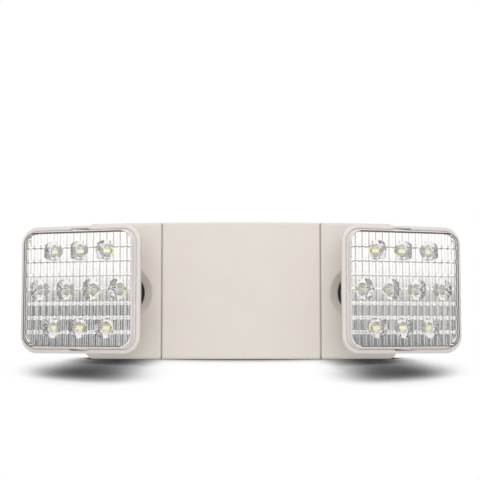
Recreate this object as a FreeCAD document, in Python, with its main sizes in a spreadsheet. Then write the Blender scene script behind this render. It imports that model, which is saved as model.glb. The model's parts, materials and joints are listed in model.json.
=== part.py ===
import FreeCAD, Part
import math
import os
import Sketcher

doc = FreeCAD.newDocument("twin_head_light")

# Driving sizes in millimetres and degrees
sheet = doc.addObject("Spreadsheet::Sheet", "dims")
sizes = [
    # Housing and cover
    ("housing_width", 262),
    ("housing_height", 114),
    ("housing_depth", 58),
    ("bow_radius", 520),
    ("corner_radius", 7),
    ("edge_radius", 1.6),
    ("housing_wall", 2.5),
    ("wall_reveal", 0.4),
    ("cover_width", 131.5),
    ("cover_wall", 2.4),
    ("cover_fit", 0.2),
    ("seam_gap", 0.9),
    ("ledge_wall", 2.2),
    ("bulkhead_wall", 2.2),
    ("window_margin", 9),
    ("wire_notch_width", 10),
    ("wire_notch_height", 12),
    ("wire_notch_setback", 8),
    ("rib_width", 6),
    ("rib_length", 16),
    ("rib_setback", 20),
    ("ridge_length", 40),
    ("ridge_width", 3),
    ("ridge_rise", 0.9),
    ("ridge_setback", 14),
    ("pocket_gap", 0.5),
    # Wall plate
    ("plate_thickness", 3),
    ("plate_fit", 0.3),
    ("wire_hole_radius", 11.1),
    ("slot_spacing", 86.1),
    ("slot_radius", 2.3),
    ("slot_travel", 2.8),
    ("keyhole_spacing", 172),
    ("keyhole_level", 26),
    ("keyhole_head_radius", 4.8),
    ("keyhole_drop", 7),
    ("snap_width", 16),
    ("snap_length", 9),
    ("snap_wall", 2),
    ("barb_rise", 1),
    ("barb_length", 2.5),
    # Swivel
    ("swivel_offset", 100),
    ("swivel_level", -2),
    ("dish_sphere", 33),
    ("dish_depth", 8),
    ("boss_margin", 5.2),
    ("boss_wall", 4),
    ("socket_radius", 8),
    ("running_gap", 0.08),
    ("flange_radius", 18.4),
    ("flange_thickness", 4.5),
    ("flange_gap", 0.4),
    ("flange_edge", 1.2),
    ("spindle_bore", 4.5),
    ("washer_thickness", 1),
    ("washer_width", 3.5),
    ("nut_width", 4.5),
    ("nut_thickness", 5),
    ("pivot_depth", 57.5),
    ("ear_radius", 9),
    ("ear_wall", 4.5),
    ("tang_thickness", 10),
    ("tang_gap", 0.2),
    ("tip_gap", 1.2),
    ("pin_radius", 3),
    ("pin_head_radius", 5),
    ("pin_head_thickness", 1.4),
    ("pin_fit", 0.03),
    # Lamp head
    ("head_yaw", 18.2),
    ("head_length", 76),
    ("head_width", 100.1),
    ("head_height", 97.7),
    ("head_corner", 14),
    ("rim_depth", 3.4),
    ("rim_width", 3.2),
    ("rim_edge", 1),
    ("shell_step", 2),
    ("shell_depth", 28),
    ("shell_wall", 2.2),
    ("knee_inset", 14),
    ("knee_rise", 7),
    ("back_inset", 22),
    ("neck_radius", 15),
    ("neck_tip_radius", 9.5),
    ("neck_tip_length", 5),
    ("post_radius", 3.2),
    # Lens
    ("lens_recess", 0.3),
    ("lens_foot", 1.6),
    ("lens_foot_width", 1),
    ("lens_gap", 0.3),
    ("lens_rise", 5.4),
    ("lens_wall", 2),
    ("lens_edge", 1),
    ("seat_width", 2.2),
    ("flute_count", 16),
    ("flute_rise", 0.55),
    ("band_count", 8),
    ("band_notch", 1.9),
    ("tab_width", 13.5),
    ("tab_height", 0.7),
    ("tab_thickness", 0.8),
    # Reflector and lamps
    ("reflector_gap", 2.4),
    ("reflector_thickness", 1.2),
    ("reflector_fit", 0.4),
    ("cup_pitch", 21.9),
    ("row_pitch", 29.3),
    ("cup_mouth", 8),
    ("cup_throat", 3.4),
    ("cup_depth", 5.2),
    ("cup_wall", 0.9),
    ("lamp_board_width", 73.5),
    ("lamp_board_height", 68),
    ("lamp_board_corner", 8),
    ("board_thickness", 1.6),
    ("led_width", 3.5),
    ("led_height", 2.8),
    ("led_thickness", 1),
    ("screw_radius", 1.2),
    ("screw_fit", 0.05),
    ("screw_hole_gap", 0.3),
    ("screw_head_radius", 2.6),
    ("screw_head_thickness", 1.6),
    ("screw_length", 6),
    # Inside of the bay
    ("post_height", 6),
    ("post_margin", 5),
    ("charger_width", 116),
    ("charger_height", 34),
    ("charger_clearance", 4.2),
    ("cell_diameter", 17),
    ("pack_length", 100),
    ("pack_clearance", 0.4),
    ("pack_rest", 1.5),
    ("rest_width", 6),
    ("strap_width", 12),
    ("strap_wall", 1.5),
    ("strap_gap", 0.3),
    ("core_width", 32),
    ("core_height", 26),
    ("core_depth", 24),
    ("coil_width", 24),
    ("coil_overhang", 3),
    ("coil_depth", 14),
    ("relay_width", 19),
    ("relay_height", 15),
    ("relay_depth", 15),
    ("can_radius", 5),
    ("can_length", 18),
    ("terminal_width", 24),
    ("terminal_height", 10),
    ("terminal_depth", 11),
    ("well_radius", 2.2),
    ("well_depth", 6),
    # Test button and lamp
    ("button_offset", 30),
    ("button_setback", 34),
    ("button_radius", 4),
    ("button_travel", 1.5),
    ("button_reveal", 0.4),
    ("button_gap", 0.1),
    ("button_stop", 0.3),
    ("plunger_radius", 2),
    ("plunger_length", 5.5),
    ("switch_width", 13),
    ("switch_height", 9),
    ("lamp_offset", 46),
    ("lamp_radius", 2.5),
    ("lamp_collar", 1.2),
    ("lamp_collar_height", 2.5),
    # Overlap of solids that are fused into one piece
    ("overlap", 0.5),
]
for row, (alias, amount) in enumerate(sizes, start=1):
    sheet.set(f"A{row}", alias)
    sheet.set(f"B{row}", str(amount))
    sheet.setAlias(f"B{row}", alias)
doc.recompute()


def number(expression):
    """Value of an expression over the sheet."""
    return float(sheet.evalExpression(expression))


# Sketches and features of a body

def new_body(name):
    return doc.addObject("PartDesign::Body", name)


def new_sketch(body, name, plane, lift="0", east="0", north="0"):
    """Sketch on an origin plane of the body, moved along the plane's axes."""
    sketch = body.newObject("Sketcher::SketchObject", name)
    support = [item for item in body.Origin.OriginFeatures if item.Role == plane][0]
    sketch.AttachmentSupport = [(support, "")]
    sketch.MapMode = "FlatFace"
    for axis, amount in (("x", east), ("y", north), ("z", lift)):
        sketch.setExpression("AttachmentOffset.Base." + axis, amount)
    return sketch


def tie(sketch, kind, places, expression):
    """Add a named size to a sketch and bind it to an expression."""
    index = sketch.addConstraint(Sketcher.Constraint(kind, *places, number(expression)))
    name = f"{kind.lower()}_{index}"
    sketch.renameConstraint(index, name)
    sketch.setExpression("Constraints." + name, expression)


def arc_middle(start, end, radius, turn):
    """Middle point of the short arc, to the right of the way from start to end when turn is 1."""
    chord = end - start
    rise = radius - math.sqrt(max(radius ** 2 - chord.Length ** 2 / 4, 0))
    side = FreeCAD.Vector(chord.y, -chord.x, 0).normalize()
    return (start + end) * 0.5 + side * rise * turn


def draw_outline(sketch, corners):
    """Closed outline; a corner may carry the radius and turn of the arc that leaves it."""
    spots = [FreeCAD.Vector(number(corner[0]), number(corner[1]), 0) for corner in corners]
    ends = []
    for index, corner in enumerate(corners):
        start = spots[index]
        end = spots[(index + 1) % len(spots)]
        if len(corner) == 2:
            side = sketch.addGeometry(Part.LineSegment(start, end), False)
            ends.append((side, 1, 2))
        else:
            middle = arc_middle(start, end, number(corner[2]), corner[3])
            side = sketch.addGeometry(Part.ArcOfCircle(start, middle, end), False)
            first = sketch.Geometry[side].StartPoint
            ends.append((side, 1, 2) if first.isEqual(start, 1e-4) else (side, 2, 1))
    for index, corner in enumerate(corners):
        side, first, _ = ends[index]
        before, _, last = ends[index - 1]
        sketch.addConstraint(Sketcher.Constraint("Coincident", before, last, side, first))
        tie(sketch, "DistanceX", (side, first), corner[0])
        tie(sketch, "DistanceY", (side, first), corner[1])
        if len(corner) == 4:
            tie(sketch, "Radius", (side,), corner[2])


def draw_circle(sketch, east, north, radius):
    center = FreeCAD.Vector(number(east), number(north), 0)
    ring = sketch.addGeometry(Part.Circle(center, FreeCAD.Vector(0, 0, 1), number(radius)), False)
    tie(sketch, "DistanceX", (ring, 3), east)
    tie(sketch, "DistanceY", (ring, 3), north)
    tie(sketch, "Radius", (ring,), radius)


def draw_rectangle(sketch, west, east, south, north):
    draw_outline(sketch, [(west, south), (east, south), (east, north), (west, north)])


def draw_rounded(sketch, width, height, radius):
    """Rounded rectangle about the sketch's origin."""
    wide = f"({width}) / 2"
    high = f"({height}) / 2"
    draw_outline(sketch, [
        (f"-({wide}) + {radius}", f"-({high})"),
        (f"{wide} - {radius}", f"-({high})", radius, 1),
        (wide, f"-({high}) + {radius}"),
        (wide, f"{high} - {radius}", radius, 1),
        (f"{wide} - {radius}", high),
        (f"-({wide}) + {radius}", high, radius, 1),
        (f"-({wide})", f"{high} - {radius}"),
        (f"-({wide})", f"-({high}) + {radius}", radius, 1),
    ])


def extrude(kind, body, name, sketch, length, both_ways=False, backward=False):
    """Pad or Pocket of a sketch."""
    feature = body.newObject("PartDesign::" + kind, name)
    feature.Profile = sketch
    feature.setExpression("Length", length)
    feature.Midplane = both_ways
    feature.Reversed = backward
    body.Tip = feature
    return feature


def revolve(body, name, sketch):
    """Turn a sketch about its own upright axis."""
    feature = body.newObject("PartDesign::Revolution", name)
    feature.Profile = sketch
    feature.ReferenceAxis = (sketch, ["V_Axis"])
    feature.Angle = 360
    body.Tip = feature
    return feature


def loft(kind, body, name, sections):
    feature = body.newObject("PartDesign::" + kind, name)
    feature.Profile = sections[0]
    feature.Sections = sections[1:]
    feature.Ruled = True
    body.Tip = feature
    return feature


def round_edges(body, name, base, wanted, radius):
    """Fillet those edges of a feature that the test picks."""
    doc.recompute()
    picked = [f"Edge{index}" for index, edge in enumerate(base.Shape.Edges, start=1) if wanted(edge)]
    feature = body.newObject("PartDesign::Fillet", name)
    feature.Base = (base, picked)
    feature.setExpression("Radius", radius)
    body.Tip = feature
    return feature


# Plain solids and booleans

def block(name, west, east, front, back, low, high):
    """Box between six planes."""
    box = doc.addObject("Part::Box", name)
    box.setExpression("Length", f"({east}) - ({west})")
    box.setExpression("Width", f"({back}) - ({front})")
    box.setExpression("Height", f"({high}) - ({low})")
    for axis, amount in (("x", west), ("y", front), ("z", low)):
        box.setExpression("Placement.Base." + axis, amount)
    return box


def rod(name, radius, length, east, depth, level, along):
    """Cylinder that starts at a point and runs along an axis."""
    turns = {
        "Y": FreeCAD.Rotation(FreeCAD.Vector(1, 0, 0), -90),
        "Z": FreeCAD.Rotation(),
    }
    cylinder = doc.addObject("Part::Cylinder", name)
    cylinder.setExpression("Radius", radius)
    cylinder.setExpression("Height", length)
    cylinder.Placement = FreeCAD.Placement(FreeCAD.Vector(), turns[along])
    for axis, amount in (("x", east), ("y", depth), ("z", level)):
        cylinder.setExpression("Placement.Base." + axis, amount)
    return cylinder


def union(name, items):
    fused = doc.addObject("Part::MultiFuse", name)
    fused.Shapes = items
    return fused


def common(name, items):
    shared = doc.addObject("Part::MultiCommon", name)
    shared.Shapes = items
    return shared


def difference(name, base, tool):
    cut = doc.addObject("Part::Cut", name)
    cut.Base = base
    cut.Tool = tool
    return cut


parts = []


def hand_in(item, label):
    """Name a finished sub-part after its file."""
    item.Label = label
    parts.append(item)


sides = (("left", "-1"), ("right", "1"))
beyond = "dims.housing_width"

# Planes of the housing
half_height = "dims.housing_height / 2"
bay_half = "(dims.cover_width / 2 + dims.seam_gap)"
bulkhead_half = f"({bay_half} + dims.bulkhead_wall)"
lining_level = f"({half_height} - dims.cover_wall)"
ledge_level = f"({lining_level} - dims.cover_fit)"
bay_level = f"({ledge_level} - dims.ledge_wall)"
pod_level = f"({half_height} - dims.housing_wall)"
plate_level = f"({pod_level} - dims.plate_fit)"
plate_front = "(-dims.plate_thickness)"
bow_center = "(dims.bow_radius - dims.housing_depth)"

# Planes of the swivel
dish_mouth = f"({bow_center} - sqrt(dims.bow_radius^2 - dims.swivel_offset^2))"
dish_radius = "sqrt(2 * dims.dish_sphere * dims.dish_depth - dims.dish_depth^2)"
seat_depth = f"({dish_mouth} + dims.dish_depth)"
boss_back = f"({seat_depth} + dims.boss_wall)"
flange_back = f"({seat_depth} - dims.running_gap)"
flange_front = f"({flange_back} - dims.flange_thickness)"
washer_back = f"({boss_back} + dims.washer_thickness)"
nut_back = f"({washer_back} + dims.nut_thickness)"
spindle_radius = "(dims.socket_radius - dims.running_gap)"


def level_block(name, west, east, front, back, near, far, flip):
    """Box between two levels, measured up or down from the middle of the housing."""
    if flip == "down":
        return block(name, west, east, front, back, f"-({far})", f"-({near})")
    return block(name, west, east, front, back, near, far)


# Housing

def housing_form(name, inset, rear):
    """Bowed block of the housing, set in from its outer faces."""
    body = new_body(name)
    half = f"(dims.housing_width / 2 - ({inset}))"
    radius = f"(dims.bow_radius - ({inset}))"
    front = f"({bow_center} - sqrt({radius}^2 - {half}^2))"
    plan = new_sketch(body, name + "_plan", "XY_Plane")
    draw_outline(plan, [
        (f"-{half}", front, radius, 1),
        (half, front),
        (half, rear),
        (f"-{half}", rear),
    ])
    pad = extrude("Pad", body, name + "_pad", plan, f"dims.housing_height - 2 * ({inset})", True)

    def is_corner(edge):
        first, last = edge.Vertexes[0].Point, edge.Vertexes[-1].Point
        return abs(first.y - last.y) > 1 and abs(first.x - last.x) + abs(first.z - last.z) < 1e-6

    return body, round_edges(body, name + "_corners", pad, is_corner, f"dims.corner_radius - ({inset})")


outer_form, outer_corners = housing_form("outer_form", "0", "-dims.wall_reveal")
doc.recompute()
bow_face = [face for face in outer_corners.Shape.Faces
            if hasattr(face.Surface, "Radius") and face.Surface.Radius > number("dims.bow_radius") - 1][0]
round_edges(outer_form, "outer_edges", outer_corners,
            lambda edge: any(edge.isSame(other) for other in bow_face.Edges), "dims.edge_radius")

pod_form, _ = housing_form("pod_form", "dims.housing_wall", "dims.plate_thickness")
bay_form, _ = housing_form("bay_form", "dims.cover_wall + dims.cover_fit + dims.ledge_wall",
                           "dims.plate_thickness")
seat_form, _ = housing_form("seat_form", "dims.cover_wall + dims.cover_fit", beyond)
lining_form, _ = housing_form("lining_form", "dims.cover_wall", beyond)

middle_block = block("middle_block", f"-{bulkhead_half}", bulkhead_half, f"-{beyond}", plate_front,
                     f"-{beyond}", beyond)
bay_block = block("bay_block", f"-{bay_half}", bay_half, f"-{beyond}", beyond, f"-{beyond}", beyond)
pod_hollow = difference("pod_hollow", pod_form, middle_block)
bay_hollow = common("bay_hollow", [bay_form, bay_block])

# Each dished socket has a thick boss behind it
plugs = []
housing_cuts = []
for side, sign in sides:
    east = f"{sign} * dims.swivel_offset"
    plugs.append(rod(side + "_plug", f"{dish_radius} + dims.boss_margin", f"{boss_back} + {beyond}",
                     east, f"-{beyond}", "dims.swivel_level", "Y"))
    dish = doc.addObject("Part::Sphere", side + "_dish")
    dish.setExpression("Radius", "dims.dish_sphere")
    dish.setExpression("Placement.Base.x", east)
    dish.setExpression("Placement.Base.y", f"{seat_depth} - dims.dish_sphere")
    dish.setExpression("Placement.Base.z", "dims.swivel_level")
    seat = rod(side + "_seat", "dims.flange_radius + dims.flange_gap", f"{seat_depth} + {beyond}",
               east, f"-{beyond}", "dims.swivel_level", "Y")
    socket = rod(side + "_socket", "dims.socket_radius", f"2 * {beyond}",
                 east, f"-{beyond}", "dims.swivel_level", "Y")
    housing_cuts += [dish, seat, socket]

hollow = difference("hollow", union("both_hollows", [pod_hollow, bay_hollow]), union("both_plugs", plugs))
shell = difference("housing_shell", outer_form, hollow)

# The cover's seat, the window behind it and the wire notches of the bulkheads
housing_cuts.append(difference("cover_seat", bay_block, seat_form))
window_half = f"({bay_half} - dims.window_margin)"
window_level = f"({bay_level} - dims.window_margin)"
housing_cuts.append(block("bay_window", f"-{window_half}", window_half, f"-{beyond}",
                          "-dims.housing_depth / 2", f"-{window_level}", window_level))
notch_back = f"({plate_front} - dims.wire_notch_setback)"
housing_cuts.append(block("wire_notch", f"-{bulkhead_half} - dims.overlap", f"{bulkhead_half} + dims.overlap",
                          f"{notch_back} - dims.wire_notch_width", notch_back,
                          "-dims.wire_notch_height / 2", "dims.wire_notch_height / 2"))

# Openings of the test button and the lamp go through the ledge and the cover
opening_low = "(-dims.housing_height)"
opening_length = f"-{bay_level} - {opening_low} + dims.overlap"
button_hole = rod("button_hole", "dims.button_radius + dims.button_gap", opening_length,
                  "dims.button_offset", "-dims.button_setback", opening_low, "Z")
lamp_hole = rod("lamp_hole", "dims.lamp_radius + dims.button_gap", opening_length,
                "dims.lamp_offset", "-dims.button_setback", opening_low, "Z")
housing_cuts += [button_hole, lamp_hole]

# Pockets take the barbs of the wall plate and the ridges of the cover
snap_front = f"({plate_front} - dims.snap_length)"
ridge_front = f"({plate_front} - dims.ridge_setback)"
for flip in ("down", "up"):
    for side, sign in sides:
        middle = f"{sign} * dims.swivel_offset"
        reach = "(dims.snap_width / 2 + dims.pocket_gap)"
        housing_cuts.append(level_block(f"{side}_{flip}_pocket", f"{middle} - {reach}", f"{middle} + {reach}",
                                        f"{snap_front} - dims.pocket_gap",
                                        f"{snap_front} + dims.barb_length + dims.pocket_gap",
                                        f"{pod_level} - dims.overlap",
                                        f"{plate_level} + dims.barb_rise + dims.pocket_gap", flip))
    reach = "(dims.ridge_length / 2 + dims.pocket_gap)"
    housing_cuts.append(level_block(f"{flip}_ridge_pocket", f"-{reach}", reach,
                                    f"{ridge_front} - dims.pocket_gap",
                                    f"{ridge_front} + dims.ridge_width + dims.pocket_gap",
                                    f"{ledge_level} - dims.ridge_rise - dims.pocket_gap",
                                    f"{ledge_level} + dims.overlap", flip))
bare_housing = difference("bare_housing", shell, union("housing_cuts", housing_cuts))

# Low ribs on the ledges carry the cover
cover_ribs = []
for flip in ("down", "up"):
    for side, sign in sides:
        middle = f"{sign} * {window_half}"
        cover_ribs.append(level_block(f"{side}_{flip}_rib", f"{middle} - dims.rib_width / 2",
                                      f"{middle} + dims.rib_width / 2",
                                      f"{plate_front} - dims.rib_setback - dims.rib_length",
                                      f"{plate_front} - dims.rib_setback",
                                      f"{ledge_level} - dims.overlap", lining_level, flip))
hand_in(union("housing_body", [bare_housing] + cover_ribs), "housing")

# Press-on cover of the bay
cover_block = block("cover_block", "-dims.cover_width / 2", "dims.cover_width / 2",
                    f"-{beyond}", beyond, f"-{beyond}", beyond)
cover_shell = difference("cover_shell", common("cover_skin", [outer_form, cover_block]), lining_form)
ridges = [level_block(f"{flip}_ridge", "-dims.ridge_length / 2", "dims.ridge_length / 2", ridge_front,
                      f"{ridge_front} + dims.ridge_width", f"{ledge_level} - dims.ridge_rise",
                      f"{lining_level} + dims.overlap", flip) for flip in ("down", "up")]
hand_in(difference("cover_body", union("cover_and_ridges", [cover_shell] + ridges),
                   union("cover_holes", [button_hole, lamp_hole])), "center_cover")

# Wall plate
plate = new_body("plate_form")
plate_outline = new_sketch(plate, "plate_outline", "XZ_Plane")
draw_rounded(plate_outline, "(dims.housing_width - 2 * dims.housing_wall - 2 * dims.plate_fit)",
             f"(2 * {plate_level})", "(dims.corner_radius - dims.housing_wall)")
extrude("Pad", plate, "plate_pad", plate_outline, "dims.plate_thickness")

plate_holes = new_sketch(plate, "plate_holes", "XZ_Plane")
draw_circle(plate_holes, "0", "0", "dims.wire_hole_radius")
slot = "dims.slot_radius"
head = "dims.keyhole_head_radius"
neck_rise = f"sqrt({head}^2 - {slot}^2)"
head_level = "(dims.keyhole_level - dims.keyhole_drop)"
for side, sign in sides:
    middle = f"{sign} * dims.slot_spacing / 2"
    west = f"({middle} - dims.slot_travel / 2)"
    east = f"({middle} + dims.slot_travel / 2)"
    draw_outline(plate_holes, [
        (west, f"-{slot}"),
        (east, f"-{slot}", slot, 1),
        (f"{east} + {slot}", "0", slot, 1),
        (east, slot),
        (west, slot, slot, 1),
        (f"{west} - {slot}", "0", slot, 1),
    ])
    middle = f"({sign} * dims.keyhole_spacing / 2)"
    draw_outline(plate_holes, [
        (f"{middle} + {slot}", f"{head_level} + {neck_rise}"),
        (f"{middle} + {slot}", "dims.keyhole_level", slot, 1),
        (middle, f"dims.keyhole_level + {slot}", slot, 1),
        (f"{middle} - {slot}", "dims.keyhole_level"),
        (f"{middle} - {slot}", f"{head_level} + {neck_rise}", head, 1),
        (f"{middle} - {head}", head_level, head, 1),
        (middle, f"{head_level} - {head}", head, 1),
        (f"{middle} + {head}", head_level, head, 1),
    ])
extrude("Pocket", plate, "plate_cuts", plate_holes, "dims.plate_thickness", False, True)

charger_level = f"({bay_level} - dims.charger_clearance - dims.charger_height / 2)"
post_east = "(dims.charger_width / 2 - dims.post_margin)"
post_rise = "(dims.charger_height / 2 - dims.post_margin)"
post_spots = [(f"{east} * {post_east}", f"{charger_level} + {north} * {post_rise}")
              for east in ("-1", "1") for north in ("-1", "1")]
posts = new_sketch(plate, "board_posts", "XZ_Plane", "dims.plate_thickness")
for east, north in post_spots:
    draw_circle(posts, east, north, "dims.post_radius")
    draw_circle(posts, east, north, "dims.screw_radius + dims.screw_fit")
extrude("Pad", plate, "board_post_pad", posts, "dims.post_height")

cell_radius = "dims.cell_diameter / 2"
pack_low = f"(-{bay_level} + dims.pack_clearance + dims.strap_wall + dims.strap_gap)"
pack_level = f"({pack_low} + dims.cell_diameter)"
pack_high = f"({pack_level} + dims.cell_diameter)"
rests = new_sketch(plate, "pack_rests", "XZ_Plane", "dims.plate_thickness")
for sign in ("-1", "1"):
    middle = f"({sign} * dims.pack_length / 3)"
    draw_rectangle(rests, f"{middle} - dims.rest_width / 2", f"{middle} + dims.rest_width / 2",
                   f"{pack_level} - {cell_radius}", f"{pack_level} + {cell_radius}")
extrude("Pad", plate, "pack_rest_pad", rests, "dims.pack_rest")

tabs = []
for side, sign in sides:
    west = f"({sign} * dims.swivel_offset - dims.snap_width / 2)"
    east = f"({sign} * dims.swivel_offset + dims.snap_width / 2)"
    for flip in ("down", "up"):
        inner_level = f"{plate_level} - dims.snap_wall"
        tabs.append(level_block(f"{side}_{flip}_tab", west, east, snap_front, f"{plate_front} + dims.overlap",
                                inner_level, plate_level, flip))
        tabs.append(level_block(f"{side}_{flip}_barb", west, east, snap_front,
                                f"{snap_front} + dims.barb_length", inner_level,
                                f"{plate_level} + dims.barb_rise", flip))
hand_in(union("plate_body", [plate] + tabs), "back_plate")

# Battery pack and its strap
pack_back = f"({plate_front} - dims.pack_rest)"
pack_middle = f"({pack_back} - {cell_radius})"
pack_front = f"({pack_back} - dims.cell_diameter)"
pack = new_body("pack_form")
pack_end = new_sketch(pack, "pack_end", "YZ_Plane")
draw_outline(pack_end, [
    (pack_front, f"{pack_level} - {cell_radius}", cell_radius, 1),
    (pack_middle, pack_low, cell_radius, 1),
    (pack_back, f"{pack_level} - {cell_radius}"),
    (pack_back, f"{pack_level} + {cell_radius}", cell_radius, 1),
    (pack_middle, pack_high, cell_radius, 1),
    (pack_front, f"{pack_level} + {cell_radius}"),
])
extrude("Pad", pack, "pack_pad", pack_end, "dims.pack_length", True)
hand_in(pack, "battery_pack")

strap = new_body("strap_form")
strap_end = new_sketch(strap, "strap_end", "YZ_Plane")
strap_low = f"({pack_low} - dims.strap_gap)"
strap_high = f"({pack_high} + dims.strap_gap)"
draw_outline(strap_end, [
    (f"{pack_front} - dims.strap_wall", f"{strap_low} - dims.strap_wall"),
    (plate_front, f"{strap_low} - dims.strap_wall"),
    (plate_front, strap_low),
    (pack_front, strap_low),
    (pack_front, strap_high),
    (plate_front, strap_high),
    (plate_front, f"{strap_high} + dims.strap_wall"),
    (f"{pack_front} - dims.strap_wall", f"{strap_high} + dims.strap_wall"),
])
extrude("Pad", strap, "strap_pad", strap_end, "dims.strap_width", True)
hand_in(strap, "battery_strap")


# Boards, the parts on them and their screws

def screws(name, spots, seat):
    """Group of screws whose heads sit on a plane and point to the front."""
    items = []
    for index, (east, north) in enumerate(spots):
        items.append(rod(f"{name}_head_{index}", "dims.screw_head_radius", "dims.screw_head_thickness",
                         east, f"{seat} - dims.screw_head_thickness", north, "Y"))
        items.append(rod(f"{name}_shank_{index}", "dims.screw_radius", "dims.screw_length + dims.overlap",
                         east, f"{seat} - dims.overlap", north, "Y"))
    return union(name, items)


def circuit_board(name, width, height, corner, lift, middle, spots):
    """Board with rounded corners and screw holes, its back at the lift."""
    body = new_body(name)
    outline = new_sketch(body, name + "_outline", "XZ_Plane", lift, "0", middle)
    draw_rounded(outline, width, height, corner)
    extrude("Pad", body, name + "_pad", outline, "dims.board_thickness")
    holes = new_sketch(body, name + "_holes", "XZ_Plane", lift)
    for east, north in spots:
        draw_circle(holes, east, north, "dims.screw_radius + dims.screw_hole_gap")
    extrude("Pocket", body, name + "_cuts", holes, "dims.board_thickness", False, True)
    return body


board_lift = "(dims.plate_thickness + dims.post_height)"
board_front = f"(-{board_lift} - dims.board_thickness)"
hand_in(circuit_board("charger", "dims.charger_width", "dims.charger_height", "dims.screw_radius",
                      board_lift, charger_level, post_spots), "charger_board")
hand_in(screws("charger_screws", post_spots, board_front), "board_screws")


def on_board(name, share, width, depth, low, high):
    """Box on the charger board, placed at a share of the board's width."""
    middle = f"dims.charger_width * {share}"
    return block(name, f"{middle} - ({width}) / 2", f"{middle} + ({width}) / 2",
                 f"{board_front} - ({depth})", board_front,
                 f"{charger_level} + {low}", f"{charger_level} + {high}")


core = on_board("core", "-0.26", "dims.core_width", "dims.core_depth", "-dims.core_height / 2",
                "dims.core_height / 2")
coil_back = f"({board_front} - dims.core_depth / 2 + dims.coil_depth / 2)"
coil_middle = "dims.charger_width * -0.26"
coil = block("coil", f"{coil_middle} - dims.coil_width / 2", f"{coil_middle} + dims.coil_width / 2",
             f"{coil_back} - dims.coil_depth", coil_back,
             f"{charger_level} - dims.core_height / 2 - dims.coil_overhang",
             f"{charger_level} + dims.core_height / 2 + dims.coil_overhang")
hand_in(union("transformer_body", [core, coil]), "transformer")
hand_in(on_board("relay_body", "0.03", "dims.relay_width", "dims.relay_depth", "-dims.relay_height / 2",
                 "dims.relay_height / 2"), "relay")
cans = [rod(name, "dims.can_radius", "dims.can_length", f"dims.charger_width * {share}",
            f"{board_front} - dims.can_length", f"{charger_level} + dims.charger_height / 4", "Y")
        for name, share in (("west_can", "0.21"), ("east_can", "0.32"))]
hand_in(union("capacitor_cans", cans), "capacitors")
terminal = on_board("terminal_blank", "0.27", "dims.terminal_width", "dims.terminal_depth",
                    "-dims.charger_height / 4 - dims.terminal_height / 2",
                    "-dims.charger_height / 4 + dims.terminal_height / 2")
terminal_wells = [rod(f"terminal_well_{index}", "dims.well_radius", "dims.well_depth + dims.overlap",
                      f"dims.charger_width * 0.27 + {place} * dims.terminal_width / 3",
                      f"{board_front} - dims.terminal_depth - dims.overlap",
                      f"{charger_level} - dims.charger_height / 4", "Y")
                  for index, place in enumerate(("-1", "0", "1"))]
hand_in(difference("terminal_body", terminal, union("terminal_wells", terminal_wells)), "terminal_block")

# Test switch, its button and the status lamp
switch_low = f"(-{bay_level})"
switch_half = "dims.switch_width / 2"
switch = block("switch_blank", f"dims.button_offset - {switch_half}", f"dims.button_offset + {switch_half}",
               f"-dims.button_setback - {switch_half}", f"-dims.button_setback + {switch_half}",
               switch_low, f"{switch_low} + dims.switch_height")
switch_well = rod("switch_well", "dims.plunger_radius + dims.button_gap",
                  "dims.plunger_length + dims.button_travel + dims.overlap", "dims.button_offset",
                  "-dims.button_setback", f"{switch_low} - dims.overlap", "Z")
hand_in(difference("switch_body", switch, switch_well), "test_switch")

button_low = "(-dims.housing_height / 2 + dims.button_reveal)"
button_high = f"({switch_low} - dims.button_travel - dims.button_stop)"
cap = rod("button_cap", "dims.button_radius", f"{button_high} - {button_low}", "dims.button_offset",
          "-dims.button_setback", button_low, "Z")
plunger = rod("button_plunger", "dims.plunger_radius", "dims.plunger_length", "dims.button_offset",
              "-dims.button_setback", f"{button_high} - dims.overlap", "Z")
hand_in(union("button_body", [cap, plunger]), "test_button")

stem = rod("lamp_stem", "dims.lamp_radius", f"{switch_low} - {button_low} + dims.overlap", "dims.lamp_offset",
           "-dims.button_setback", button_low, "Z")
collar = rod("lamp_collar_ring", "dims.lamp_radius + dims.lamp_collar", "dims.lamp_collar_height",
             "dims.lamp_offset", "-dims.button_setback", switch_low, "Z")
hand_in(union("lamp_body", [stem, collar]), "status_lamp")


# Swivel of one head, drawn about its own axis and then set in its socket

def seat_swivel(item, sign):
    item.setExpression("Placement.Base.x", f"{sign} * dims.swivel_offset")
    item.setExpression("Placement.Base.z", "dims.swivel_level")


def ring(name, outer, inner, front, back):
    """Washer about the swivel's axis."""
    body = new_body(name)
    section = new_sketch(body, name + "_section", "XY_Plane")
    draw_rectangle(section, inner, outer, front, back)
    revolve(body, name + "_turn", section)
    return body


pivot_line = "(-dims.pivot_depth)"
fork_inner = "(dims.tang_thickness / 2 + dims.tang_gap)"
fork_outer = f"({fork_inner} + dims.ear_wall)"


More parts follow.
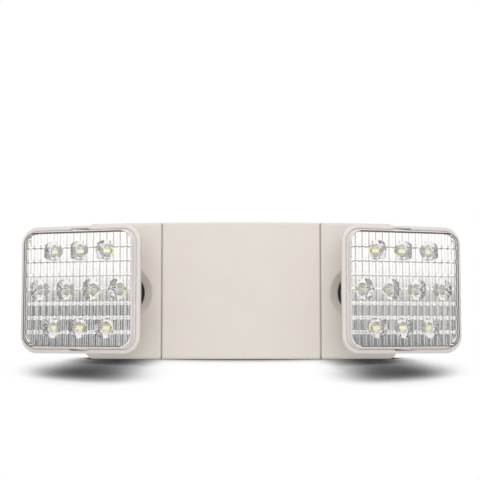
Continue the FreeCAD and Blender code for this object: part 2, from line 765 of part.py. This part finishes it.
def swivel_base(name):
    """Turret with a flange, a hollow spindle and a fork for the head's tang."""
    body = new_body(name)
    section = new_sketch(body, name + "_section", "XY_Plane")
    draw_outline(section, [
        ("dims.spindle_bore", flange_front),
        ("dims.flange_radius - dims.flange_edge", flange_front, "dims.flange_edge", 1),
        ("dims.flange_radius", f"{flange_front} + dims.flange_edge"),
        ("dims.flange_radius", flange_back),
        (spindle_radius, flange_back),
        (spindle_radius, nut_back),
        ("dims.spindle_bore", nut_back),
    ])
    revolve(body, name + "_spindle", section)
    for ear, lift, backward in (("high", fork_inner, False), ("low", f"-{fork_inner}", True)):
        outline = new_sketch(body, f"{name}_{ear}_outline", "XY_Plane", lift)
        draw_outline(outline, [
            ("-dims.ear_radius", pivot_line, "dims.ear_radius", 1),
            ("0", f"{pivot_line} - dims.ear_radius", "dims.ear_radius", 1),
            ("dims.ear_radius", pivot_line),
            ("dims.ear_radius", f"{flange_front} + dims.overlap"),
            ("-dims.ear_radius", f"{flange_front} + dims.overlap"),
        ])
        extrude("Pad", body, f"{name}_{ear}_ear", outline, "dims.ear_wall", False, backward)
    hole = new_sketch(body, name + "_pin_hole", "XY_Plane")
    draw_circle(hole, "0", pivot_line, "dims.pin_radius + dims.pin_fit")
    extrude("Pocket", body, name + "_pin_cut", hole, f"4 * {fork_outer}", True)
    return body


def pivot_pin(name):
    """Pin with a head at both ends of the fork."""
    shank = rod(name + "_shank", "dims.pin_radius", f"2 * {fork_outer}", "0", pivot_line,
                f"-{fork_outer}", "Z")
    foot = rod(name + "_foot", "dims.pin_head_radius", "dims.pin_head_thickness", "0", pivot_line,
               f"-{fork_outer} - dims.pin_head_thickness", "Z")
    head_disc = rod(name + "_head", "dims.pin_head_radius", "dims.pin_head_thickness", "0", pivot_line,
                    fork_outer, "Z")
    return union(name, [shank, foot, head_disc])


for side, sign in sides:
    pieces = (
        ("swivel_base", swivel_base(side + "_turret")),
        ("swivel_washer", ring(side + "_washer_ring", "dims.socket_radius + dims.washer_width",
                               f"{spindle_radius} + dims.pin_fit",
                               f"{boss_back} + dims.running_gap", washer_back)),
        ("swivel_nut", ring(side + "_nut_ring", "dims.socket_radius + dims.nut_width",
                            f"{spindle_radius} + dims.pin_fit", washer_back, nut_back)),
        ("pivot_pin", pivot_pin(side + "_pin")),
    )
    for label, item in pieces:
        seat_swivel(item, sign)
        hand_in(item, f"{side}_{label}")


# Lamp head, drawn facing the front about its pivot and then turned outwards

def seat_head(item, sign):
    item.Placement.Rotation = FreeCAD.Rotation(FreeCAD.Vector(0, 0, 1), 1)
    item.setExpression("Placement.Base.x", f"{sign} * dims.swivel_offset")
    item.setExpression("Placement.Base.y", pivot_line)
    item.setExpression("Placement.Base.z", "dims.swivel_level")
    item.setExpression("Placement.Rotation.Angle", f"{sign} * dims.head_yaw")


rim_back = "(dims.head_length - dims.rim_depth)"
shell_back = f"({rim_back} - dims.shell_depth)"
shell_floor = f"({shell_back} + dims.shell_wall)"
lens_depth = "(dims.lens_recess + dims.lens_foot)"
lens_back = f"(dims.head_length - {lens_depth})"
lens_front = "(dims.head_length + dims.lens_rise)"
lens_inside = f"({lens_front} - dims.lens_wall)"
reflector_front = f"({lens_inside} - dims.reflector_gap)"
reflector_back = f"({reflector_front} - dims.reflector_thickness)"
led_front = f"({reflector_front} - dims.cup_depth)"
led_back = f"({led_front} - dims.board_thickness)"
opening_width = "(dims.head_width - 2 * dims.rim_width)"
opening_height = "(dims.head_height - 2 * dims.rim_width)"
opening_corner = "(dims.head_corner - dims.rim_width)"
inner_width = f"({opening_width} - 2 * dims.seat_width)"
inner_height = f"({opening_height} - 2 * dims.seat_width)"
inner_corner = f"({opening_corner} - dims.seat_width)"
led_post_spots = [(f"{east} * dims.cup_pitch", f"{north} * dims.row_pitch / 2")
                  for east in ("-1", "1") for north in ("-1", "1")]
cup_rows = (("-1", ("-1", "0", "1")), ("0", ("-1.5", "-0.5", "0.5", "1.5")), ("1", ("-1", "0", "1")))
cup_spots = [(f"{east} * dims.cup_pitch", f"{level} * dims.row_pitch")
             for level, line in cup_rows for east in line]


def head_section(body, name, lift, inset, corner):
    """Cross-section of the head, set in from the rim's outline."""
    section = new_sketch(body, name, "XZ_Plane", lift)
    draw_rounded(section, f"(dims.head_width - 2 * ({inset}))", f"(dims.head_height - 2 * ({inset}))", corner)
    return section


def at_depth(lift):
    """Test for edges that lie in the plane at that distance in front of the pivot."""
    plane = -number(lift)
    return lambda edge: all(abs(corner.Y - plane) < 1e-6 for corner in edge.Vertexes)


def head_shell(name):
    """Rim, tapered back, neck and tang in one moulding, hollow behind the lens."""
    body = new_body(name)
    shell_corner = "(dims.head_corner - dims.shell_step)"
    loft("AdditiveLoft", body, name + "_back", [
        head_section(body, name + "_shoulder", f"{rim_back} + dims.overlap", "dims.shell_step", shell_corner),
        head_section(body, name + "_knee", f"{shell_back} + dims.knee_rise", "dims.knee_inset", shell_corner),
        head_section(body, name + "_end", shell_back, "dims.back_inset", shell_corner),
    ])
    rim_outline = head_section(body, name + "_rim_outline", rim_back, "0", "dims.head_corner")
    rim = extrude("Pad", body, name + "_rim", rim_outline, "dims.rim_depth")
    round_edges(body, name + "_rim_round", rim, at_depth("dims.head_length"), "dims.rim_edge")

    neck_tip = "(dims.ear_radius + dims.tip_gap)"
    neck = new_sketch(body, name + "_neck_section", "XY_Plane")
    draw_outline(neck, [
        ("0", f"-{shell_back} - dims.overlap"),
        ("dims.neck_radius", f"-{shell_back} - dims.overlap"),
        ("dims.neck_tip_radius", f"-{neck_tip} - dims.neck_tip_length"),
        ("dims.neck_tip_radius", f"-{neck_tip}"),
        ("0", f"-{neck_tip}"),
    ])
    revolve(body, name + "_neck", neck)
    tang = new_sketch(body, name + "_tang_outline", "XY_Plane")
    draw_outline(tang, [
        ("-dims.ear_radius", f"-{neck_tip} - dims.overlap"),
        ("dims.ear_radius", f"-{neck_tip} - dims.overlap"),
        ("dims.ear_radius", "0", "dims.ear_radius", 1),
        ("0", "dims.ear_radius", "dims.ear_radius", 1),
        ("-dims.ear_radius", "0"),
    ])
    extrude("Pad", body, name + "_tang", tang, "dims.tang_thickness", True)
    eye = new_sketch(body, name + "_eye", "XY_Plane")
    draw_circle(eye, "0", "0", "dims.pin_radius + dims.running_gap")
    extrude("Pocket", body, name + "_eye_cut", eye, "2 * dims.tang_thickness", True)

    opening = new_sketch(body, name + "_opening", "XZ_Plane", "dims.head_length")
    draw_rounded(opening, opening_width, opening_height, opening_corner)
    extrude("Pocket", body, name + "_lens_seat", opening, lens_depth)
    notches = new_sketch(body, name + "_notches", "XZ_Plane", "dims.head_length")
    notch_half = "(dims.tab_width / 2 + 2 * dims.lens_gap)"
    notch_level = f"({opening_height} / 2 + dims.tab_height + dims.lens_gap)"
    draw_rectangle(notches, f"-{notch_half}", notch_half, f"-{notch_level}", notch_level)
    extrude("Pocket", body, name + "_tab_notches", notches, lens_depth)
    throat = new_sketch(body, name + "_throat", "XZ_Plane", lens_back)
    draw_rounded(throat, inner_width, inner_height, inner_corner)
    knee = head_section(body, name + "_inner_knee", f"{shell_back} + dims.knee_rise",
                        "dims.knee_inset + 1.3 * dims.shell_wall", inner_corner)
    floor = head_section(body, name + "_floor", shell_floor, "dims.back_inset + 0.4 * dims.shell_wall",
                         inner_corner)
    loft("SubtractiveLoft", body, name + "_hollow", [throat, knee, floor])
    posts = new_sketch(body, name + "_posts", "XZ_Plane", f"{shell_floor} - dims.overlap")
    for east, north in led_post_spots:
        draw_circle(posts, east, north, "dims.post_radius")
        draw_circle(posts, east, north, "dims.screw_radius + dims.screw_fit")
    extrude("Pad", body, name + "_post_pad", posts, f"{led_back} - {shell_floor} + dims.overlap")
    return body


def lens(name):
    """Clear raised cap on a thin foot; flutes and bands stand on its inner face."""
    cap = new_body(name + "_cap")
    foot = new_sketch(cap, name + "_foot", "XZ_Plane", lens_back)
    draw_rounded(foot, f"({opening_width} - 2 * dims.lens_gap)", f"({opening_height} - 2 * dims.lens_gap)",
                 f"({opening_corner} - dims.lens_gap)")
    extrude("Pad", cap, name + "_foot_pad", foot, "dims.lens_foot")
    step = "(dims.lens_gap + dims.lens_foot_width)"
    raised = new_sketch(cap, name + "_raised", "XZ_Plane", lens_back)
    draw_rounded(raised, f"({opening_width} - 2 * {step})", f"({opening_height} - 2 * {step})",
                 f"({opening_corner} - {step})")
    dome = extrude("Pad", cap, name + "_raised_pad", raised, f"{lens_front} - {lens_back}")
    round_edges(cap, name + "_front_round", dome, at_depth(lens_front), "dims.lens_edge")
    tab_sketch = new_sketch(cap, name + "_tabs", "XZ_Plane", lens_back)
    tab_level = f"({opening_height} / 2 + dims.tab_height)"
    draw_rectangle(tab_sketch, "-dims.tab_width / 2", "dims.tab_width / 2", f"-{tab_level}", tab_level)
    extrude("Pad", cap, name + "_tab_pad", tab_sketch, "dims.tab_thickness")
    inside = new_sketch(cap, name + "_inside", "XZ_Plane", lens_inside)
    draw_rounded(inside, inner_width, inner_height, inner_corner)
    extrude("Pocket", cap, name + "_hollow", inside, f"2 * ({lens_inside} - {lens_back})")

    # Upright flutes bulge inwards
    flutes = new_body(name + "_flutes")
    flute_count = round(number("dims.flute_count"))
    pitch = f"({inner_width} / {flute_count})"
    bulge = f"(({pitch} / 2)^2 + dims.flute_rise^2) / (2 * dims.flute_rise)"
    valley = f"-{lens_inside}"
    buried = f"{valley} - dims.overlap"
    corners = [(f"-{inner_width} / 2", buried), (f"{inner_width} / 2", buried)]
    for count in range(flute_count):
        corners.append((f"{inner_width} / 2 - {count} * {pitch}", valley, bulge, 1))
    corners.append((f"-{inner_width} / 2", valley))
    comb = new_sketch(flutes, name + "_comb", "XY_Plane")
    draw_outline(comb, corners)
    extrude("Pad", flutes, name + "_comb_pad", comb, inner_height, True)

    # Level notches part the flutes into bands
    band_count = round(number("dims.band_count"))
    crest = f"{valley} + 1.2 * dims.flute_rise"
    notch = new_sketch(flutes, name + "_notch", "YZ_Plane")
    for count in range(1, band_count):
        level = f"(-{inner_height} / 2 + {count} * {inner_height} / {band_count})"
        draw_outline(notch, [
            (crest, f"{level} - dims.band_notch"),
            (crest, f"{level} + dims.band_notch"),
            (f"{valley} - 0.2 * dims.flute_rise", level),
        ])
    extrude("Pocket", flutes, name + "_notches", notch, "2 * dims.head_width", True)
    field = new_body(name + "_field")
    field_outline = new_sketch(field, name + "_field_outline", "XZ_Plane", f"{lens_inside} - dims.lens_wall")
    draw_rounded(field_outline, f"({inner_width} + dims.overlap)", f"({inner_height} + dims.overlap)",
                 inner_corner)
    extrude("Pad", field, name + "_field_pad", field_outline, "2 * dims.lens_wall")
    return union(name, [cap, common(name + "_fluted", [flutes, field])])


def reflector(name):
    """Flat tray with a cup for each lamp."""
    tray = new_body(name + "_tray")
    outline = new_sketch(tray, name + "_outline", "XZ_Plane", reflector_back)
    draw_rounded(outline, f"({inner_width} - 2 * dims.reflector_fit)",
                 f"({inner_height} - 2 * dims.reflector_fit)", f"({inner_corner} - dims.reflector_fit)")
    extrude("Pad", tray, name + "_pad", outline, "dims.reflector_thickness")
    solids = [tray]
    bowls = []
    for index, (east, level) in enumerate(cup_spots):
        for kind, extra, group in (("skin", "dims.cup_wall", solids), ("bowl", "0", bowls)):
            cup = doc.addObject("Part::Cone", f"{name}_{kind}_{index}")
            cup.setExpression("Radius1", f"dims.cup_mouth + {extra}")
            cup.setExpression("Radius2", f"dims.cup_throat + {extra}")
            cup.setExpression("Height", "dims.cup_depth")
            cup.Placement.Rotation = FreeCAD.Rotation(FreeCAD.Vector(1, 0, 0), -90)
            cup.setExpression("Placement.Base.x", east)
            cup.setExpression("Placement.Base.y", f"-{reflector_front}")
            cup.setExpression("Placement.Base.z", level)
            group.append(cup)
    return difference(name, union(name + "_solids", solids), union(name + "_bowls", bowls))


def led_group(name):
    """Lamp packages on the board, one in the throat of each cup."""
    items = [block(f"{name}_{index}", f"{east} - dims.led_width / 2", f"{east} + dims.led_width / 2",
                   f"-{led_front} - dims.led_thickness", f"-{led_front}",
                   f"{level} - dims.led_height / 2", f"{level} + dims.led_height / 2")
             for index, (east, level) in enumerate(cup_spots)]
    return union(name, items)


for side, sign in sides:
    pieces = (
        ("head_shell", head_shell(side + "_shell")),
        ("lens", lens(side + "_cover_lens")),
        ("reflector", reflector(side + "_mirror")),
        ("led_board", circuit_board(side + "_lamp_board", "dims.lamp_board_width", "dims.lamp_board_height",
                                    "dims.lamp_board_corner", led_back, "0", led_post_spots)),
        ("leds", led_group(side + "_lamps")),
        ("led_screws", screws(side + "_lamp_screws", led_post_spots, f"-{led_front}")),
    )
    for label, item in pieces:
        seat_head(item, sign)
        hand_in(item, f"{side}_{label}")

# Check every object and write the files
doc.recompute()
for item in doc.Objects:
    if "Invalid" in item.State or "Error" in item.State:
        raise RuntimeError(f"{item.Label} has not built: {item.State}")
os.makedirs("parts", exist_ok=True)
for item in parts:
    if item.Shape.isNull() or not item.Shape.isValid():
        raise RuntimeError(f"{item.Label} has no valid shape")
    item.Shape.exportStep(f"parts/{item.Label}.step")
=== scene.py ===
import json
import math

import bpy
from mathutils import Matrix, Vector


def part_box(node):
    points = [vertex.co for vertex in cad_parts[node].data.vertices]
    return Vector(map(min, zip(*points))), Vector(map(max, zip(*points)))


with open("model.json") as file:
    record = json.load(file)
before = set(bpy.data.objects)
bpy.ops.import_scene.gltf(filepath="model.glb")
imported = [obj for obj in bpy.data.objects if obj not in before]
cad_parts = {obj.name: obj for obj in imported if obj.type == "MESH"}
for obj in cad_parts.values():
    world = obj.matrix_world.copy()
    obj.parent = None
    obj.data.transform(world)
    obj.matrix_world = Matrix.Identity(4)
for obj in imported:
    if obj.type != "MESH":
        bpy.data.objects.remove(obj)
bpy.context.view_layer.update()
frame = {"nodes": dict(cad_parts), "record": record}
nodes = frame["nodes"]
slots = {part["node"]: part["material_slot"] for part in frame["record"]["subparts"]}
scene = bpy.context.scene


# Helpers for node trees

def add_node(tree, kind, **settings):
    """New node with some of its settings or input values given."""
    node = tree.nodes.new("ShaderNode" + kind)
    for name, value in settings.items():
        if name in node.inputs:
            node.inputs[name].default_value = value
        else:
            setattr(node, name, value)
    return node


def new_material(name):
    """Material with an empty node tree."""
    material = bpy.data.materials.new(name)
    material.use_nodes = True
    material.node_tree.nodes.clear()
    return material, material.node_tree


def finish_surface(tree, shader):
    """Output node that shows a shader."""
    output = add_node(tree, "OutputMaterial")
    tree.links.new(shader, output.inputs["Surface"])


def maths(tree, operation, *inputs):
    """Result of a calculation whose inputs are links or plain numbers."""
    node = add_node(tree, "Math", operation=operation)
    for socket, value in zip(node.inputs, inputs):
        if isinstance(value, (int, float)):
            socket.default_value = value
        else:
            tree.links.new(value, socket)
    return node.outputs["Value"]


def grey(level):
    return (level, level, level)


def ramp_of(tree, value, stops, low=0.0, high=1.0):
    """Colour ramp over a range of values; each stop is a value and a colour."""
    spread = add_node(tree, "MapRange")
    spread.inputs["From Min"].default_value = low
    spread.inputs["From Max"].default_value = high
    tree.links.new(value, spread.inputs["Value"])
    ramp = add_node(tree, "ValToRGB")
    elements = ramp.color_ramp.elements
    while len(elements) < len(stops):
        elements.new(1.0)
    for element, (place, colour) in zip(elements, stops):
        element.position = (place - low) / (high - low)
        element.color = (*colour, 1)
    tree.links.new(spread.outputs["Result"], ramp.inputs["Fac"])
    return ramp.outputs["Color"]


def noise(tree, scale, detail=3.0):
    """Noise that stays with the object."""
    place = add_node(tree, "TexCoord")
    texture = add_node(tree, "TexNoise", Scale=scale, Detail=detail)
    tree.links.new(place.outputs["Object"], texture.inputs["Vector"])
    return texture.outputs["Fac"]


def seen_rays(tree, kinds):
    """One for these kinds of rays, nought for the rest."""
    path = add_node(tree, "LightPath")
    seen = path.outputs[kinds[0]]
    for kind in kinds[1:]:
        seen = maths(tree, "MAXIMUM", seen, path.outputs[kind])
    return seen


def mix_shaders(tree, factor, first, second):
    """First shader where the factor is nought, second where it is one."""
    mix = add_node(tree, "MixShader")
    tree.links.new(factor, mix.inputs["Fac"])
    tree.links.new(first, mix.inputs[1])
    tree.links.new(second, mix.inputs[2])
    return mix.outputs["Shader"]


# Materials

darker_end = 0.3
lighter_end = 0.7
grain_height = 0.0002
rounding_samples = 8


def coated(name, colour, rough, mottle=0.03, mottle_scale=60,
           grain=0.0, grain_scale=2500, soft=0.0, **settings):
    """Surface with slightly uneven colour; with a grain it can also have edges that shade softly."""
    material, tree = new_material(name)
    shader = add_node(tree, "BsdfPrincipled", Roughness=rough)
    for socket, value in settings.items():
        shader.inputs[socket.replace("_", " ")].default_value = value
    darker = [channel * (1 - mottle) for channel in colour]
    lighter = [min(channel * (1 + mottle), 1) for channel in colour]
    shades = ((darker_end, darker), (lighter_end, lighter))
    tree.links.new(ramp_of(tree, noise(tree, mottle_scale), shades), shader.inputs["Base Color"])
    if grain:
        bump = add_node(tree, "Bump", Strength=grain, Distance=grain_height)
        tree.links.new(noise(tree, grain_scale), bump.inputs["Height"])
        if soft:
            rounded = add_node(tree, "Bevel", Radius=soft, samples=rounding_samples)
            tree.links.new(rounded.outputs["Normal"], bump.inputs["Normal"])
        tree.links.new(bump.outputs["Normal"], shader.inputs["Normal"])
    finish_surface(tree, shader.outputs["BSDF"])
    return material


package_rough = 0.35
edge_facing = 0.96
middle_facing = 0.995


def lamp_front(name, middle, edge, margin, painted_glow):
    """Lamp package with a yellow middle and a painted glow; its edge is where the rounded normal leans
    away.
    """
    material, tree = new_material(name)
    shader = add_node(tree, "BsdfPrincipled", Roughness=package_rough)
    # Painted glow: the unlit package emits a little of its own colour
    shader.inputs["Emission Strength"].default_value = painted_glow
    rounded = add_node(tree, "Bevel", Radius=margin, samples=rounding_samples)
    flat = add_node(tree, "NewGeometry")
    facing = add_node(tree, "VectorMath", operation="DOT_PRODUCT")
    tree.links.new(rounded.outputs["Normal"], facing.inputs[0])
    tree.links.new(flat.outputs["True Normal"], facing.inputs[1])
    colours = ramp_of(tree, facing.outputs["Value"], ((edge_facing, edge), (middle_facing, middle)))
    for socket in ("Base Color", "Emission Color"):
        tree.links.new(colours, shader.inputs[socket])
    finish_surface(tree, shader.outputs["BSDF"])
    return material


surfaces = {
    "white_plastic": dict(
        colour=(0.785, 0.735, 0.69), rough=0.45, mottle=0.012, mottle_scale=45, grain=0.12, soft=0.003),
    "black_plastic": dict(
        colour=(0.022, 0.020, 0.019), rough=0.42, mottle=0.15, mottle_scale=80, grain=0.15),
    "board_green": dict(colour=(0.04, 0.17, 0.07), rough=0.35, mottle=0.12, mottle_scale=200),
    "board_white": dict(colour=(0.88, 0.88, 0.86), rough=0.40, mottle=0.03, mottle_scale=150),
    "steel": dict(colour=(0.60, 0.60, 0.61), rough=0.30, mottle=0.06, mottle_scale=400, Metallic=1.0),
    "dark_steel": dict(colour=(0.10, 0.10, 0.11), rough=0.35, mottle=0.10, mottle_scale=400, Metallic=1.0),
    "pack_wrap": dict(colour=(0.07, 0.17, 0.38), rough=0.28, mottle=0.06, mottle_scale=90),
    "core_iron": dict(colour=(0.19, 0.18, 0.17), rough=0.55, mottle=0.15, mottle_scale=300, grain=0.2),
    "relay_case": dict(colour=(0.09, 0.11, 0.15), rough=0.30, mottle=0.06, mottle_scale=120),
    "can_aluminium": dict(colour=(0.15, 0.16, 0.23), rough=0.32, mottle=0.08, mottle_scale=150),
    "terminal_green": dict(colour=(0.07, 0.29, 0.14), rough=0.38, mottle=0.05, mottle_scale=120),
    "lamp_green": dict(colour=(0.10, 0.52, 0.18), rough=0.20, mottle=0.06, mottle_scale=200),
    "button_red": dict(colour=(0.50, 0.06, 0.05), rough=0.32, mottle=0.05, mottle_scale=200),
    "clear_lens": dict(
        colour=(0.965, 0.955, 0.945), rough=0.02, mottle=0.008, mottle_scale=90,
        Transmission_Weight=0.97, IOR=1.5),
    "lens_border": dict(
        colour=(0.97, 0.93, 0.93), rough=0.32, mottle=0.02, mottle_scale=90,
        Transmission_Weight=0.18, IOR=1.45),
    "bright_coat": dict(
        colour=(0.90, 0.89, 0.885), rough=0.07, mottle=0.03, mottle_scale=120,
        grain=0.05, grain_scale=700, Metallic=1.0),
}
looks = {name: coated(name, **surface) for name, surface in surfaces.items()}
# The lamp packages are not lit; their glow is painted light
looks["lamp_yellow"] = lamp_front(
    "lamp_yellow", middle=(0.97, 0.93, 0.44), edge=(0.93, 0.93, 0.90), margin=0.0009, painted_glow=0.5)
for name, node in nodes.items():
    node.data.materials.clear()
    node.data.materials.append(looks[slots[name]])


# Faces of the lenses and of the lamp packages that differ from the rest of their piece

border_depth = 0.003
side_lean = 0.75
tab_reach = 0.0006
border_index = 1
mirror_index = 2
package_index = 1
for side in ("left", "right"):
    lens = nodes[side + "_lens"].data
    lens.materials.append(looks["lens_border"])
    lens.materials.append(looks["bright_coat"])
    face = max(lens.polygons, key=lambda polygon: polygon.area)
    axis = face.normal.copy()
    front = face.center.dot(axis)
    middle = sum((polygon.center for polygon in lens.polygons), Vector()) / len(lens.polygons)
    levels = [vertex.co.z for vertex in lens.vertices]
    lower_tab = min(levels) + tab_reach
    upper_tab = max(levels) - tab_reach
    # The inner sides mirror the reflector, the outer sides and the foot are satin, the clip tabs stay clear
    for polygon in lens.polygons:
        sideways = abs(polygon.normal.dot(axis)) < side_lean
        behind = front - polygon.center.dot(axis) > border_depth
        inward = (polygon.center - middle).dot(polygon.normal) < 0
        on_tab = not lower_tab < polygon.center.z < upper_tab
        if sideways and inward:
            polygon.material_index = mirror_index
        elif (sideways or behind) and not on_tab:
            polygon.material_index = border_index
    # Only the fronts of the lamp packages are yellow
    lamps = nodes[side + "_leds"].data
    lamps.materials.append(looks["board_white"])
    for polygon in lamps.polygons:
        if polygon.normal.dot(axis) < side_lean:
            polygon.material_index = package_index


# Camera at the photograph's angle, a little below the middle of the part and looking slightly up

camera_pitch = 4.83
camera_distance = 0.958
camera_level = -0.0342
camera_data = bpy.data.cameras.new("camera")
camera_data.sensor_width = 36
camera_data.lens = 81.3
camera_data.shift_x = -0.0025
camera = bpy.data.objects.new("camera", camera_data)
camera.location = (0, -camera_distance, camera_level)
camera.rotation_euler = (math.radians(90 + camera_pitch), 0, 0)
scene.collection.objects.link(camera)
scene.camera = camera


# Floor that falls away in front of the part

cover_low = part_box("center_cover")[0]
floor_level = cover_low.z
floor_edge = cover_low.y
floor_slope = math.tan(math.radians(11.5))
floor_half = 6.0
floor_front = -3.0
floor_back = 6.0
floor_lines = (
    (floor_back, floor_level),
    (floor_edge, floor_level),
    (floor_front, floor_level + (floor_front - floor_edge) * floor_slope),
)
corners = [(east, depth, level) for depth, level in floor_lines for east in (-floor_half, floor_half)]
# Each line has two corners, and each face joins two lines
floor_faces = [(0, 2, 3, 1), (2, 4, 5, 3)]
floor_mesh = bpy.data.meshes.new("floor")
floor_mesh.from_pydata(corners, [], floor_faces)
floor = bpy.data.objects.new("floor", floor_mesh)
floor.visible_glossy = False
floor.visible_transmission = False
scene.collection.objects.link(floor)


# White floor with a painted soft shadow, measured leaning forward, so that the housing's face counts for
# little

shadow_reach = 0.06
shadow_lean = math.radians(28)
shadow_stops = (
    (0.50, grey(0.06)),
    (0.58, grey(0.18)),
    (0.66, grey(0.40)),
    (0.74, grey(0.68)),
    (0.80, grey(0.89)),
    (0.86, grey(1.0)),
)
contact_reach = 0.04
contact_limit = 0.84
contact_strength = 8.0
contact_shadow_reach = 0.006
contact_shadow_stops = ((0.45, grey(0.02)), (0.65, grey(0.25)), (0.84, grey(1.0)))
forward = (0.0, -math.sin(shadow_lean), math.cos(shadow_lean))
backward = (0.0, 1.0, 0.0)
occlusion_samples = 32
floor_colour = (*grey(0.6), 1)


def openness(tree, direction, reach):
    """One where nothing stands near in a direction, less where the part does."""
    east, depth, height = direction
    looking = add_node(tree, "CombineXYZ", X=east, Y=depth, Z=height)
    occlusion = add_node(tree, "AmbientOcclusion", Distance=reach, samples=occlusion_samples)
    tree.links.new(looking.outputs["Vector"], occlusion.inputs["Normal"])
    return occlusion.outputs["AO"]


floor_look, tree = new_material("floor")
# The shadow is painted into the floor's glow from occlusion, with a thin painted dark line where the floor
# meets the housing
soft_shadow = ramp_of(tree, openness(tree, forward, shadow_reach), shadow_stops)
closeness = maths(tree, "SUBTRACT", contact_limit, openness(tree, backward, contact_reach))
contact = maths(tree, "MAXIMUM", closeness, 0.0)
deepening = maths(tree, "MULTIPLY_ADD", contact, contact_strength, 1.0)
deep_shadow = maths(tree, "POWER", soft_shadow, deepening)
painted_contact_shadow = ramp_of(tree, openness(tree, backward, contact_shadow_reach), contact_shadow_stops)
shadow = maths(tree, "MULTIPLY", deep_shadow, painted_contact_shadow)
glow = add_node(tree, "Emission", Strength=1.0)
tree.links.new(shadow, glow.inputs["Color"])
matt = add_node(tree, "BsdfDiffuse", Color=floor_colour)
camera_rays = seen_rays(tree, ("Is Camera Ray",))
finish_surface(tree, mix_shaders(tree, camera_rays, matt.outputs["BSDF"], glow.outputs["Emission"]))
floor_mesh.materials.append(floor_look)


# World: white behind the part, while gloss and glass see two soft boxes, a dim room and a white table

# Azimuth of the soft boxes in degrees, and what is seen so many degrees away from it
box_azimuth = 45.0
box_span = 40.0
box_stops = ((9.0, grey(1.0)), (14.0, grey(0.5)), (22.0, grey(0.5)), (30.0, grey(1.0)))
beside_stops = ((22.0, grey(0.0)), (30.0, grey(1.0)))
# Height of a direction, nought at eye level
level_span = 0.25
level_stops = ((-0.20, grey(1.0)), (-0.175, grey(0.0)), (0.026, grey(0.0)), (0.052, grey(1.0)))
# Dark and light stripes of the room
room_stops = ((0.44, (0.02, 0.045, 0.055)), (0.56, grey(0.58)))
room_scale = (13.0, 13.0, 26.0)
room_detail = 2.0
# Strength of what is mirrored, and the light that falls on everything else
mirrored_strength = 1.4
around_colour = (1.0, 0.985, 0.97, 1)
around_strength = 0.62
backdrop_colour = (*grey(1.0), 1)
world = bpy.data.worlds.new("studio")
world.use_nodes = True
scene.world = world
tree = world.node_tree
tree.nodes.clear()
direction = add_node(tree, "TexCoord")
split = add_node(tree, "SeparateXYZ")
tree.links.new(direction.outputs["Generated"], split.inputs["Vector"])
aside = maths(tree, "ABSOLUTE", split.outputs["X"])
frontal = maths(tree, "MULTIPLY", split.outputs["Y"], -1.0)
azimuth = maths(tree, "DEGREES", maths(tree, "ARCTAN2", aside, frontal))
off_box = maths(tree, "ABSOLUTE", maths(tree, "SUBTRACT", azimuth, box_azimuth))
soft_box = ramp_of(tree, off_box, box_stops, 0.0, box_span)
beside = ramp_of(tree, off_box, beside_stops, 0.0, box_span)
level = ramp_of(tree, split.outputs["Z"], level_stops, -level_span, level_span)
stretched = add_node(tree, "Mapping", Scale=room_scale)
tree.links.new(direction.outputs["Generated"], stretched.inputs["Vector"])
stripes = add_node(tree, "TexNoise", Scale=1.0, Detail=room_detail)
tree.links.new(stretched.outputs["Vector"], stripes.inputs["Vector"])
room = ramp_of(tree, stripes.outputs["Fac"], room_stops)
blend = add_node(tree, "MixRGB")
tree.links.new(maths(tree, "MAXIMUM", level, beside), blend.inputs["Fac"])
tree.links.new(room, blend.inputs["Color1"])
tree.links.new(soft_box, blend.inputs["Color2"])
mirrored = add_node(tree, "Background", Strength=mirrored_strength)
tree.links.new(blend.outputs["Color"], mirrored.inputs["Color"])
around = add_node(tree, "Background", Color=around_colour, Strength=around_strength)
backdrop = add_node(tree, "Background", Color=backdrop_colour, Strength=1.0)
clear_rays = seen_rays(tree, ("Is Glossy Ray", "Is Transmission Ray"))
lighting = mix_shaders(tree, clear_rays, around.outputs["Background"], mirrored.outputs["Background"])
camera_rays = seen_rays(tree, ("Is Camera Ray",))
surroundings = mix_shaders(tree, camera_rays, lighting, backdrop.outputs["Background"])
output = add_node(tree, "OutputWorld")
tree.links.new(surroundings, output.inputs["Surface"])
scene.view_settings.view_transform = "Standard"


# Soft lamps

lamp_aim = Vector((0, 0, 0))


def soft_lamp(name, place, size, power):
    """Square lamp aimed at the part, not seen in gloss or through glass."""
    data = bpy.data.lights.new(name, "AREA")
    data.shape = "SQUARE"
    data.size = size
    data.energy = power
    lamp = bpy.data.objects.new(name, data)
    lamp.location = place
    lamp.rotation_euler = (lamp_aim - Vector(place)).to_track_quat("-Z", "Y").to_euler()
    lamp.visible_glossy = False
    lamp.visible_transmission = False
    scene.collection.objects.link(lamp)


soft_lamp("front_lamp", place=(0, -2.0, 0.08), size=0.6, power=12.5)
soft_lamp("top_lamp", place=(0, -0.4, 1.5), size=1.0, power=6)
